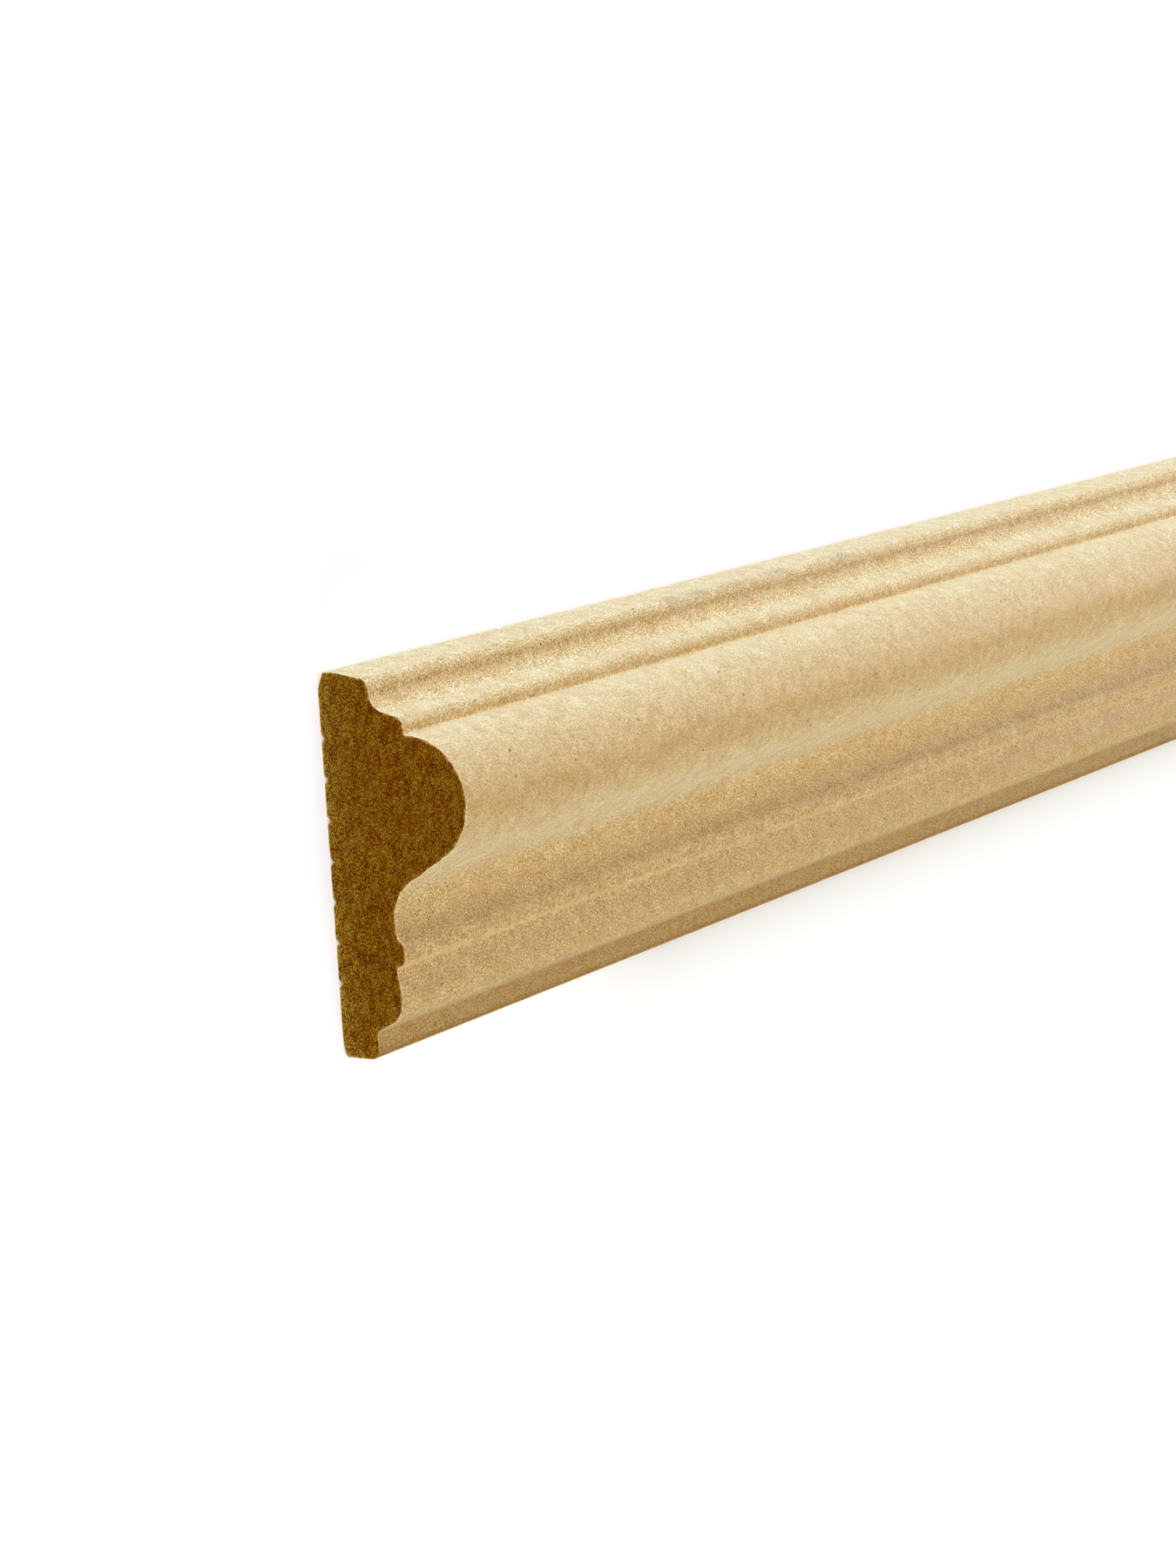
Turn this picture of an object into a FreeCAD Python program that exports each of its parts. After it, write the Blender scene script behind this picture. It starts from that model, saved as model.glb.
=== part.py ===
import FreeCAD
import Part
import math
import os

# Dado rail
# One length of moulding, run from a single strip of 25 mm fibreboard. It lies on its flat back
# with the moulded face up, as a loose length is stored. X runs along the rail, Y from the bottom
# edge to the top edge, and Z out from the back, with the origin in the middle of the back.
# Sizes are in millimetres and angles in degrees. In the section, "out" is the distance from the
# back and "up" is the distance from the bottom edge, as the rail is fixed to a wall. A member's
# projection is how far it stands out from the one below it, or above it where that is said. The
# rail's width, 58 mm, is the sum of its members' heights.

# Overall sizes
RAIL_LENGTH = 2400.0
RAIL_THICKNESS = 25.0

# Bottom fillet, the narrow flat band that the rail ends in
BOTTOM_FILLET_OUT = 6.55
BOTTOM_FILLET_HEIGHT = 4.15
BOTTOM_ARRIS_RADIUS = 1.5
BOTTOM_QUIRK_RADIUS = 0.3

# Lower ovolo, the broad rounded band above it, whose face leans back to a quirk, a sharp nick
OVOLO_PROJECTION = 4.3
OVOLO_HEIGHT = 9.85
OVOLO_RADIUS = 4.5
OVOLO_UNDERSIDE_SLOPE = 28.0
OVOLO_FACE_LEAN = 8.2
LOWER_QUIRK_RADIUS = 0.25

# Bead, the small round that stands over the quirk
BEAD_PROJECTION = 1.6
BEAD_HEIGHT = 4.95
BEAD_UNDERSIDE_SLOPE = 30.0
BEAD_NOSE_RADIUS = 1.25
BEAD_BACK_SLOPE = 45.0
BEAD_BACK_RADIUS = 2.2

# Cove, the hollow behind the bead, and the straight slope by which it flows into the torus
COVE_SINKING = 1.4
COVE_HEIGHT = 6.22
COVE_ROOT_RADIUS = 2.0
COVE_RADIUS = 7.0
OGEE_SLOPE = 32.2

# Torus, the large round nose of the rail, and the quirk that it ends in
TORUS_RADIUS = 9.7
UPPER_QUIRK_LAND = 0.45
UPPER_QUIRK_RADIUS = 0.4

# Upper ovolo, which projects from the top fillet, and the cavetto hollowed between the two
UPPER_OVOLO_PROJECTION = 5.75
UPPER_OVOLO_HEIGHT = 2.4
UPPER_OVOLO_RADIUS = 1.8
CAVETTO_FLOOR_RISE = 1.49
CAVETTO_RADIUS = 2.9

# Top fillet, whose upper edge is flat behind and falls a little towards the face
TOP_FILLET_HEIGHT = 4.15
TOP_ARRIS_RADIUS = 1.9
TOP_FALL = 0.95
TOP_FLAT_OUT = 3.0
TOP_CROWN_RADIUS = 12.0

# Back arrises, eased so that the rail beds against an uneven wall
BACK_TOP_EASING_OUT = 1.0
BACK_TOP_EASING_HEIGHT = 2.5
BACK_TOP_EASING_RADIUS = 1.5
BACK_TOP_ARRIS_RADIUS = 0.5
BACK_BOTTOM_EASING_OUT = 0.28
BACK_BOTTOM_EASING_HEIGHT = 3.2
BACK_BOTTOM_EASING_RADIUS = 6.0
BACK_BOTTOM_ARRIS_RADIUS = 0.9

# Keying grooves, fine V cuts along the back that hold the adhesive, in a row whose middle lies
# a little above the middle of the rail
GROOVE_COUNT = 7
GROOVE_ROW_RISE = 0.65
GROOVE_PITCH = 6.15
GROOVE_WIDTH = 1.4
GROOVE_DEPTH = 0.5

# Two points nearer than this are one point
SAME_POINT = 1e-6


def slope(degrees):
    """How far a line at this angle climbs for each millimetre that it runs out."""
    return math.tan(math.radians(degrees))


def face():
    """Corners of the moulded face, from the bottom edge up to the top edge, as (out, up, radius)."""
    # The lower ovolo's corner is where its underside meets its face, which comes down from the quirk
    quirk_out = BOTTOM_FILLET_OUT + OVOLO_PROJECTION
    quirk = BOTTOM_FILLET_HEIGHT + OVOLO_HEIGHT
    under = slope(OVOLO_UNDERSIDE_SLOPE)
    lean = slope(OVOLO_FACE_LEAN)
    ovolo_out = quirk_out + lean * (OVOLO_HEIGHT - under * OVOLO_PROJECTION) / (1 + lean * under)
    ovolo_up = BOTTOM_FILLET_HEIGHT + under * (ovolo_out - BOTTOM_FILLET_OUT)

    # The bead's slopes climb to its nose and fall back from it into the cove
    bead_out = quirk_out + BEAD_PROJECTION
    cove_out = bead_out - COVE_SINKING
    cove_foot = quirk + BEAD_HEIGHT
    bead_nose = quirk + slope(BEAD_UNDERSIDE_SLOPE) * BEAD_PROJECTION
    bead_back = cove_foot - slope(BEAD_BACK_SLOPE) * COVE_SINKING

    # The torus touches the ogee's slope, the front plane and the land of the quirk above it
    cove_top = cove_foot + COVE_HEIGHT
    torus_foot = cove_top + slope(OGEE_SLOPE) * (RAIL_THICKNESS - cove_out)
    torus_middle = torus_foot + slope((90.0 - OGEE_SLOPE) / 2) * TORUS_RADIUS
    torus_top = torus_middle + TORUS_RADIUS
    upper_quirk_out = RAIL_THICKNESS - TORUS_RADIUS - UPPER_QUIRK_LAND

    upper_ovolo_edge = torus_top + UPPER_OVOLO_HEIGHT
    top_fillet_out = upper_quirk_out - UPPER_OVOLO_PROJECTION
    top_fillet_foot = upper_ovolo_edge + CAVETTO_FLOOR_RISE
    top_fillet_edge = top_fillet_foot + TOP_FILLET_HEIGHT
    return [
        (BOTTOM_FILLET_OUT, 0.0, BOTTOM_ARRIS_RADIUS),
        (BOTTOM_FILLET_OUT, BOTTOM_FILLET_HEIGHT, BOTTOM_QUIRK_RADIUS),
        (ovolo_out, ovolo_up, OVOLO_RADIUS),
        (quirk_out, quirk, LOWER_QUIRK_RADIUS),
        (bead_out, bead_nose, BEAD_NOSE_RADIUS),
        (bead_out, bead_back, BEAD_BACK_RADIUS),
        (cove_out, cove_foot, COVE_ROOT_RADIUS),
        (cove_out, cove_top, COVE_RADIUS),
        (RAIL_THICKNESS, torus_foot, TORUS_RADIUS),
        (RAIL_THICKNESS, torus_top, TORUS_RADIUS),
        (upper_quirk_out, torus_top, UPPER_QUIRK_RADIUS),
        (upper_quirk_out, upper_ovolo_edge, UPPER_OVOLO_RADIUS),
        (top_fillet_out, top_fillet_foot, CAVETTO_RADIUS),
        (top_fillet_out, top_fillet_edge, TOP_ARRIS_RADIUS),
        (TOP_FLAT_OUT, top_fillet_edge + TOP_FALL, TOP_CROWN_RADIUS),
    ]


def back(rail_width):
    """Corners of the back, from the top edge down to the bottom edge, with its row of grooves."""
    corners = [
        (BACK_TOP_EASING_OUT, rail_width, BACK_TOP_ARRIS_RADIUS),
        (0.0, rail_width - BACK_TOP_EASING_HEIGHT, BACK_TOP_EASING_RADIUS),
    ]
    row_middle = rail_width / 2 + GROOVE_ROW_RISE
    for number in range(GROOVE_COUNT):
        middle = row_middle + ((GROOVE_COUNT - 1) / 2 - number) * GROOVE_PITCH
        corners.append((0.0, middle + GROOVE_WIDTH / 2, 0.0))
        corners.append((GROOVE_DEPTH, middle, 0.0))
        corners.append((0.0, middle - GROOVE_WIDTH / 2, 0.0))
    corners.append((0.0, BACK_BOTTOM_EASING_HEIGHT, BACK_BOTTOM_EASING_RADIUS))
    corners.append((BACK_BOTTOM_EASING_OUT, 0.0, BACK_BOTTOM_ARRIS_RADIUS))
    return corners


def rounded_outline(corners):
    """A closed wire through the corners, each eased by an arc that is tangent to both its sides.

    An arc reaches along its sides by its radius times the tangent of half the turn. Where the two
    arcs of one side need more than its length, both are limited by it."""
    points = [FreeCAD.Vector(0, up, out) for out, up, _ in corners]
    radii = [radius for _, _, radius in corners]
    sides = [after - before for before, after in zip(points, points[1:] + points[:1])]
    half_turns = [sides[i - 1].getAngle(side) / 2 for i, side in enumerate(sides)]
    reaches = [radius * math.tan(half_turn) for radius, half_turn in zip(radii, half_turns)]
    needs = [this + other for this, other in zip(reaches, reaches[1:] + reaches[:1])]
    shares = [min(1.0, side.Length / max(need, SAME_POINT)) for side, need in zip(sides, needs)]

    arcs = []
    for i, point in enumerate(points):
        share = min(shares[i - 1], shares[i])
        to_last = (points[i - 1] - point).normalize()
        to_next = (points[(i + 1) % len(points)] - point).normalize()
        inset = share * radii[i] * (1 / math.cos(half_turns[i]) - 1)
        start = point + to_last * share * reaches[i]
        middle = point + (to_last + to_next).normalize() * inset
        end = point + to_next * share * reaches[i]
        arcs.append((start, middle, end))

    edges = []
    for (start, middle, end), (next_start, _, _) in zip(arcs, arcs[1:] + arcs[:1]):
        if start.distanceToPoint(end) > SAME_POINT:
            edges.append(Part.Arc(start, middle, end).toShape())
        if end.distanceToPoint(next_start) > SAME_POINT:
            edges.append(Part.LineSegment(end, next_start).toShape())
    return Part.Wire(edges)


def make_rail():
    """The section carried along the whole length, between two square saw cuts."""
    face_corners = face()
    rail_width = face_corners[-1][1]
    outline = rounded_outline(face_corners + back(rail_width))
    rail = Part.Face(outline).extrude(FreeCAD.Vector(RAIL_LENGTH, 0, 0))
    rail.translate(FreeCAD.Vector(-RAIL_LENGTH / 2, -rail_width / 2, 0))
    print("width in mm:", round(rail_width, 3), "volume in litres:", round(rail.Volume / 1e6, 4))
    return rail


os.makedirs("parts", exist_ok=True)
make_rail().exportStep("parts/dado_rail.step")
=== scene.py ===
# %% [markdown]
# # A moulded dado rail
# A dado rail is a strip of moulding that runs round a room at the height of a chair back. This
# one is machined from fibreboard, and it is all one piece: a section with a big round nose, some
# smaller members, and a flat back. The solid model gives its place and size. Here it gets a finer
# skin and its finish. The first cell loads the solid as a frame that nothing below may move.

import bpy
import numpy as np
from mathutils import Matrix, Vector


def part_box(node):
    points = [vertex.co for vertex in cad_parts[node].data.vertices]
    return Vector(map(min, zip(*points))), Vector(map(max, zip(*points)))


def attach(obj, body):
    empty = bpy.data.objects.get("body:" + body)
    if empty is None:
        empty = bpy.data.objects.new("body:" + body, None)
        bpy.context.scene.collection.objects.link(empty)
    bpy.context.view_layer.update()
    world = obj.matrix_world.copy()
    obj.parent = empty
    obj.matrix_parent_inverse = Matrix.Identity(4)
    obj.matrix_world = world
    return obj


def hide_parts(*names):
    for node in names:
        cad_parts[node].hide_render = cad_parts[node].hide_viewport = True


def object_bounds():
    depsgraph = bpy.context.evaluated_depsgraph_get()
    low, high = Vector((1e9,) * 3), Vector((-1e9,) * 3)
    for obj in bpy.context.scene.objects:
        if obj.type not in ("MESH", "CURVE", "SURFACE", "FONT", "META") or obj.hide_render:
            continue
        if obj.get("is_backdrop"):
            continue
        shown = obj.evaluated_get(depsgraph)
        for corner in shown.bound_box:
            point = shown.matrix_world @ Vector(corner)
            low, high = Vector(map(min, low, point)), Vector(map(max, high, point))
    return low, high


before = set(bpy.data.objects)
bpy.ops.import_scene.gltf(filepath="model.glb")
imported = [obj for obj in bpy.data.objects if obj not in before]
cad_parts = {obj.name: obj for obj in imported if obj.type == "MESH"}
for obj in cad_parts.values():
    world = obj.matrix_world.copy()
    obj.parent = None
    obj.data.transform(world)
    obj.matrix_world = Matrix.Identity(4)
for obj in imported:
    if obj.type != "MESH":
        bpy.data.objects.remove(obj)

NODE = "dado_rail"
MM = 0.001

solid_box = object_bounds()
low, high = np.array(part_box(NODE)[0]), np.array(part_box(NODE)[1])
rail_length, rail_width, rail_thickness = high - low
print("rail in metres:", rail_length.round(4), rail_width.round(4), rail_thickness.round(4))

# %% [markdown]
# ## The camera
# All the long edges of the rail are parallel, so in the photograph they run to one point. The line
# from the lens to that vanishing point is the direction of the rail, whatever the rail's place.
# That fixes two of the camera's three turns. The third is the small roll by which the back edge of
# the sawn end leans, and the distance comes from how large the end appears. This is surer than
# turning a camera by eye, since each number can be read from the picture by itself.

# %% What the photograph gives
# The picture's size, the vanishing point and the near end's lower back corner, in pixels
PHOTO_SIZE = np.array([1350.0, 1800.0])
VANISHING_POINT = np.array([3546.5, -28.2])
NEAR_CORNER_PIXEL = np.array([395.2, 1213.6])

# How far ahead of the lens that corner lies, in metres, and how far the end's back edge leans
NEAR_CORNER_DISTANCE = 0.5834
END_LEAN = np.radians(4.10)

# The sensor's size goes along the longer side of the picture, which here is its height
SENSOR_MM = 36.0
LENS_MM = 90.0

lens_pixels = LENS_MM / SENSOR_MM * PHOTO_SIZE[1]
print("the lens is", lens_pixels, "pixels from the picture")

# %% Directions of the rail, as the camera sees them


def sight_line(pixel):
    """The line from the lens through a pixel, as picture right, picture down and distance."""
    return np.append((pixel - PHOTO_SIZE / 2) / lens_pixels, 1.0)


def unit(vector):
    """The vector, divided by its own length."""
    return vector / np.linalg.norm(vector)


along = unit(sight_line(VANISHING_POINT))
square_right = unit(np.array([1.0, 0.0, 0.0]) - along[0] * along)
square_down = np.cross(along, square_right)
out_of_back = np.cos(END_LEAN) * square_right - np.sin(END_LEAN) * square_down
up_the_width = -np.sin(END_LEAN) * square_right - np.cos(END_LEAN) * square_down

# The rows are the rail's X, Y and Z, and the columns are picture right, picture up and backwards
camera_axes = np.array([along, up_the_width, out_of_back]) * [1.0, -1.0, -1.0]
print("the rail runs", np.degrees(np.arccos(along[2])).round(1), "degrees off the line of sight")

# %% Stand the camera where the photograph was taken
corner_line = sight_line(NEAR_CORNER_PIXEL) * NEAR_CORNER_DISTANCE * [1.0, -1.0, -1.0]

camera_data = bpy.data.cameras.new("camera")
camera_data.lens = LENS_MM
camera_data.sensor_width = SENSOR_MM
camera_data.clip_start = 0.01
camera = bpy.data.objects.new("camera", camera_data)
camera.matrix_world = Matrix.LocRotScale(
    Vector(low - camera_axes @ corner_line), Matrix(camera_axes), None
)
bpy.context.scene.collection.objects.link(camera)
bpy.context.scene.camera = camera
bpy.context.scene.view_settings.view_transform = "Standard"
print("camera at", np.array(camera.matrix_world.translation).round(4))

# %% [markdown]
# ## Colours and nodes
# A colour is easiest to read and to share as the hex number that a paint program shows. Blender
# mixes light in linear numbers, so one function turns the first into the second. Materials could
# be wired up by hand in the shader editor, but a few lines that add a node, set it and link it
# can be read, changed and run again.

# %% One function for colours, and one that adds a node
# A Mix node has sockets of the same name for each kind of data, so a colour's go by their number
MIX_A, MIX_B, MIX_RESULT = 6, 7, 2


def linear(hex_colour):
    """An sRGB hex colour as linear red, green, blue and alpha: the power law of the sRGB curve."""
    red_green_blue = np.array([int(hex_colour[i:i + 2], 16) for i in (1, 3, 5)]) / 255
    low_part = red_green_blue / 12.92
    high_part = ((red_green_blue + 0.055) / 1.055) ** 2.4
    return (*np.where(red_green_blue <= 0.04045, low_part, high_part), 1.0)


def add(tree, kind, sockets=None, **settings):
    """Adds a node of this kind. Each socket is given a value, or the socket that feeds it."""
    node = tree.nodes.new("ShaderNode" + kind)
    for name, value in settings.items():
        setattr(node, name, value)
    for name, value in (sockets or {}).items():
        if isinstance(value, bpy.types.NodeSocket):
            tree.links.new(value, node.inputs[name])
        else:
            node.inputs[name].default_value = value
    return node


print("mid grey, #808080, is", round(float(linear("#808080")[0]), 3), "in linear numbers")

# %% Start a material, and tell which rays see it


def new_material(name):
    """A material with an empty node tree but for its output, and that tree and output."""
    material = bpy.data.materials.new(name)
    material.use_nodes = True
    material.node_tree.nodes.clear()
    return material, material.node_tree, add(material.node_tree, "OutputMaterial")


def seen_directly(tree):
    """One where a ray comes from the camera or from a reflection, and nought elsewhere."""
    path = add(tree, "LightPath")
    rays = {0: path.outputs["Is Camera Ray"], 1: path.outputs["Is Glossy Ray"]}
    return add(tree, "Math", rays, operation="MAXIMUM").outputs[0]


print("helpers are ready")

# %% [markdown]
# ## Floor and sky
# The rail lies on white paper in a light tent. Paper under so soft a light takes almost no
# shadow, and the camera sees it as plain white. More lamps would whiten it too, but they would
# bleach the rail, so the paper glows a little by itself, only for the camera and for
# reflections, and it still takes the rail's shadow. To those two the sky is white as well, and
# to everything else it is a weak, warm light.
#
# One shade does show, right under the rail's lower edge, from a hand's breadth behind the near
# end. It is taken out of the glow, the most at the edge, and it fades with the distance from
# there as an exponential does. From half a metre to the other side of the edge, the exponential
# is too large for the shader, so the paper has no glow there and is pale grey. The photograph's
# view doesn't reach that far.

# %% Floor
FLOOR_SIZE = 60.0

floor_mesh = bpy.data.meshes.new("floor")
floor_corners = np.array([[-1, -1, 0], [1, -1, 0], [1, 1, 0], [-1, 1, 0]]) * FLOOR_SIZE / 2
floor_mesh.from_pydata(floor_corners.tolist(), [], [(0, 1, 2, 3)])
floor = bpy.data.objects.new("floor", floor_mesh)
bpy.context.scene.collection.objects.link(floor)
floor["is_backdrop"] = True
print("floor of", FLOOR_SIZE, "m")

# %% White paper
# How much of the light the paper gives back, what it glows by itself, and what the shade takes
# out of the glow at the rail's edge
PAPER_COLOUR = "#eff1f5"
PAPER_GLOW = "#b9bdc5"
EDGE_SHADE = "#b0aeb7"

# How far below the edge the shade has faded to about a third, and where along the rail, counted
# from its near end, it sets in and is full
SHADE_REACH_MM = 5.5
SHADE_START_MM = 58.0
SHADE_FULL_MM = 92.0

white_paper, tree, output = new_material("white_paper")
place = add(tree, "TexCoord").outputs["Object"]
along_paper, across_paper, _ = add(tree, "SeparateXYZ", {0: place}).outputs

# The distance from the edge is counted in reaches, and is less than nought below the edge
shade_reach = SHADE_REACH_MM * MM
reaches = {0: across_paper, 1: 1 / shade_reach, 2: -low[1] / shade_reach}
reaches = add(tree, "Math", reaches, operation="MULTIPLY_ADD").outputs[0]
fading = add(tree, "Math", {0: reaches}, operation="EXPONENT").outputs[0]
below = add(tree, "Math", {0: reaches, 1: 0.0}, operation="LESS_THAN").outputs[0]
fading = add(tree, "Math", {0: fading, 1: below}, operation="MULTIPLY").outputs[0]

# Along the rail it goes from nought to minus one, since it is taken out of the glow
start = {"Value": along_paper, "From Min": low[0] + SHADE_START_MM * MM}
start |= {"From Max": low[0] + SHADE_FULL_MM * MM, "To Max": -1.0}
start = add(tree, "MapRange", start).outputs[0]
shade = add(tree, "Math", {0: fading, 1: start}, operation="MULTIPLY").outputs[0]
glow = {0: shade, 1: linear(EDGE_SHADE)[:3], 2: linear(PAPER_GLOW)[:3]}
glow = add(tree, "VectorMath", glow, operation="MULTIPLY_ADD").outputs[0]
shining = add(tree, "Emission", {"Color": glow, "Strength": seen_directly(tree)})
paper = add(tree, "BsdfDiffuse", {"Color": linear(PAPER_COLOUR)})
lit = add(tree, "AddShader", {0: paper.outputs[0], 1: shining.outputs[0]})
tree.links.new(lit.outputs[0], output.inputs["Surface"])
floor_mesh.materials.append(white_paper)
print(white_paper.name, "has", len(tree.nodes), "nodes")

# %% Sky
SKY_STRENGTH = 0.25
SKY_WARMTH = "#fff0dc"
SKY_SEEN = "#ffffff"

sky = bpy.data.worlds.new("sky")
bpy.context.scene.world = sky
sky.use_nodes = True
tree = sky.node_tree
tree.nodes.clear()
seen = seen_directly(tree)
strength = add(tree, "MapRange", {"Value": seen, "To Min": SKY_STRENGTH, "To Max": 1.0})
layers = {0: seen, MIX_A: linear(SKY_WARMTH), MIX_B: linear(SKY_SEEN)}
sky_colour = add(tree, "Mix", layers, data_type="RGBA").outputs[MIX_RESULT]
background = add(tree, "Background", {"Color": sky_colour, "Strength": strength.outputs[0]})
tree.links.new(background.outputs[0], add(tree, "OutputWorld").inputs["Surface"])
print("sky of strength", SKY_STRENGTH)

# %% [markdown]
# ## Lamps
# The light is meant to be the same over all 2.4 m of rail. Area lamps close by would be brighter
# at one end, so each lamp here is a sun, whose light is the same everywhere, and its wide disc
# gives the soft edges of a big lamp. The strongest comes from the side of the top edge, which is
# above once the rail is on a wall, so that every ledge is pale and every upright face is darker,
# which is how a moulding shows its members. Weaker ones fill in from the front and from below, and
# one off each end lights the sawn cut there and hardly touches the rest. The light from above is
# a little cool, and the fill a little warm.

# %% Lamps
# For each, how much light falls on a surface that faces it, where 1 shows a colour as it is
# written, then its colour, the direction it comes from, and the width of its disc in degrees
LAMPS = {
    "top_light": (1.01, "#eff4ff", (0.0, 1.0, 0.05), 25.0),
    "front_light": (0.165, "#fff5e4", (0.0, 0.27, 0.96), 40.0),
    "low_light": (0.4, "#fffaee", (0.0, -1.0, 0.53), 25.0),
    "near_end_light": (0.6, "#ffffff", (-1.0, 0.04, 0.06), 10.0),
    "far_end_light": (0.6, "#ffffff", (1.0, 0.04, 0.06), 10.0),
}
for name, (light_level, lamp_colour, comes_from, lamp_width) in LAMPS.items():
    lamp_data = bpy.data.lights.new(name, "SUN")
    lamp_data.energy = light_level * np.pi
    lamp_data.color = linear(lamp_colour)[:3]
    lamp_data.angle = np.radians(lamp_width)
    lamp = bpy.data.objects.new(name, lamp_data)
    lamp.rotation_mode = "QUATERNION"
    lamp.rotation_quaternion = Vector(comes_from).to_track_quat("Z", "Y")
    bpy.context.scene.collection.objects.link(lamp)
print("lamps:", ", ".join(LAMPS))

# %% [markdown]
# ## The section
# A moulding's section is a row of members, each with an old name: a fillet is a flat band, an
# ovolo is a rounded band, a quirk is a sharp nick, a cove is a hollow and a torus is a big
# round. The sizes below are the same as the solid's, in millimetres, and only the grooves of the
# back have their edges rounded here and not there. "Out" is measured from the back and "up" from
# the bottom edge. The corners come first, and each is then rounded by an arc. A traced curve could
# be as close, but it couldn't be changed one member at a time.

# %% Sizes of the lower members
BOTTOM_FILLET_OUT = 6.55
BOTTOM_FILLET_HEIGHT = 4.15
BOTTOM_ARRIS_RADIUS = 1.5
BOTTOM_QUIRK_RADIUS = 0.3
OVOLO_PROJECTION = 4.3
OVOLO_HEIGHT = 9.85
OVOLO_RADIUS = 4.5
OVOLO_UNDERSIDE_SLOPE = np.tan(np.radians(28.0))
OVOLO_FACE_LEAN = np.tan(np.radians(8.2))
LOWER_QUIRK_RADIUS = 0.25
BEAD_PROJECTION = 1.6
BEAD_HEIGHT = 4.95
BEAD_UNDERSIDE_SLOPE = np.tan(np.radians(30.0))
BEAD_NOSE_RADIUS = 1.25
BEAD_BACK_SLOPE = np.tan(np.radians(45.0))
BEAD_BACK_RADIUS = 2.2
COVE_SINKING = 1.4
COVE_HEIGHT = 6.22
COVE_ROOT_RADIUS = 2.0
COVE_RADIUS = 7.0

# The lower ovolo's corner is where its underside meets its face, which comes down from the quirk
quirk_out = BOTTOM_FILLET_OUT + OVOLO_PROJECTION
quirk_up = BOTTOM_FILLET_HEIGHT + OVOLO_HEIGHT
ovolo_out = quirk_out + OVOLO_FACE_LEAN * (
    OVOLO_HEIGHT - OVOLO_UNDERSIDE_SLOPE * OVOLO_PROJECTION
) / (1 + OVOLO_FACE_LEAN * OVOLO_UNDERSIDE_SLOPE)
ovolo_up = BOTTOM_FILLET_HEIGHT + OVOLO_UNDERSIDE_SLOPE * (ovolo_out - BOTTOM_FILLET_OUT)

# The bead's slopes climb to its nose and fall back from it into the cove
bead_out = quirk_out + BEAD_PROJECTION
bead_nose_up = quirk_up + BEAD_UNDERSIDE_SLOPE * BEAD_PROJECTION
cove_out = bead_out - COVE_SINKING
cove_foot_up = quirk_up + BEAD_HEIGHT
bead_back_up = cove_foot_up - BEAD_BACK_SLOPE * COVE_SINKING
cove_top_up = cove_foot_up + COVE_HEIGHT
print("the cove ends", round(cove_top_up, 2), "mm up")

# %% Sizes of the torus and the members above it
OGEE_ANGLE = 32.2
TORUS_RADIUS = 9.7
UPPER_QUIRK_LAND = 0.45
UPPER_QUIRK_RADIUS = 0.4
UPPER_OVOLO_PROJECTION = 5.75
UPPER_OVOLO_HEIGHT = 2.4
UPPER_OVOLO_RADIUS = 1.8
CAVETTO_FLOOR_RISE = 1.49
CAVETTO_RADIUS = 2.9
TOP_FILLET_HEIGHT = 4.15
TOP_ARRIS_RADIUS = 1.9
TOP_FLAT_OUT = 3.0
TOP_CROWN_RADIUS = 12.0

width_mm = rail_width / MM
nose_out = rail_thickness / MM

# The torus touches the ogee's slope, the front plane and the land of the quirk above it
torus_foot_up = cove_top_up + np.tan(np.radians(OGEE_ANGLE)) * (nose_out - cove_out)
torus_top_up = torus_foot_up + (1 + np.tan(np.radians(45.0 - OGEE_ANGLE / 2))) * TORUS_RADIUS
upper_quirk_out = nose_out - TORUS_RADIUS - UPPER_QUIRK_LAND
upper_ovolo_up = torus_top_up + UPPER_OVOLO_HEIGHT
top_fillet_out = upper_quirk_out - UPPER_OVOLO_PROJECTION
top_fillet_up = upper_ovolo_up + CAVETTO_FLOOR_RISE
top_edge_up = top_fillet_up + TOP_FILLET_HEIGHT
print("the top falls", round(width_mm - top_edge_up, 3), "mm towards the face")

# %% Corners of the face
# Each corner is its distance out, its height up and the radius that rounds it
face_corners = [
    (BOTTOM_FILLET_OUT, 0.0, BOTTOM_ARRIS_RADIUS),
    (BOTTOM_FILLET_OUT, BOTTOM_FILLET_HEIGHT, BOTTOM_QUIRK_RADIUS),
    (ovolo_out, ovolo_up, OVOLO_RADIUS),
    (quirk_out, quirk_up, LOWER_QUIRK_RADIUS),
    (bead_out, bead_nose_up, BEAD_NOSE_RADIUS),
    (bead_out, bead_back_up, BEAD_BACK_RADIUS),
    (cove_out, cove_foot_up, COVE_ROOT_RADIUS),
    (cove_out, cove_top_up, COVE_RADIUS),
    (nose_out, torus_foot_up, TORUS_RADIUS),
    (nose_out, torus_top_up, TORUS_RADIUS),
    (upper_quirk_out, torus_top_up, UPPER_QUIRK_RADIUS),
    (upper_quirk_out, upper_ovolo_up, UPPER_OVOLO_RADIUS),
    (top_fillet_out, top_fillet_up, CAVETTO_RADIUS),
    (top_fillet_out, top_edge_up, TOP_ARRIS_RADIUS),
]
crown_corner = (TOP_FLAT_OUT, width_mm, TOP_CROWN_RADIUS)
print("the face has", len(face_corners), "corners")

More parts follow.
